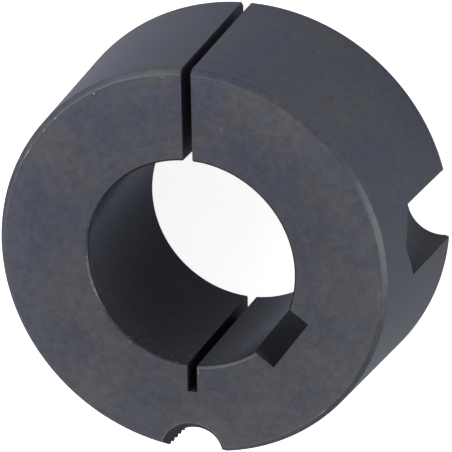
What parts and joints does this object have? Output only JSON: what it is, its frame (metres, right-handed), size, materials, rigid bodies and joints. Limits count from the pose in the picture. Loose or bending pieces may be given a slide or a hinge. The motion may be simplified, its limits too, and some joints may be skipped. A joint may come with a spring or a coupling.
{
  "type": "taper bush",
  "caption": "Split tapered clamping bush with a keyed bore, blind locking half-holes and a threaded jacking half-hole, blackened iron.",
  "frame": {"origin": "on the bore axis, in the plane of the large end face, on which the bush stands", "axes": "+Z along the bore axis from the large end to the small end, +Y out of the bore axis through the middle of the split"},
  "size_m": [0.0696, 0.0696, 0.0318],
  "materials": {
    "blackened_iron": "phosphated and oiled, satin dark grey"
  },
  "bodies": {
    "root": {"taper_bush": "blackened_iron"}
  },
  "joints": []
}
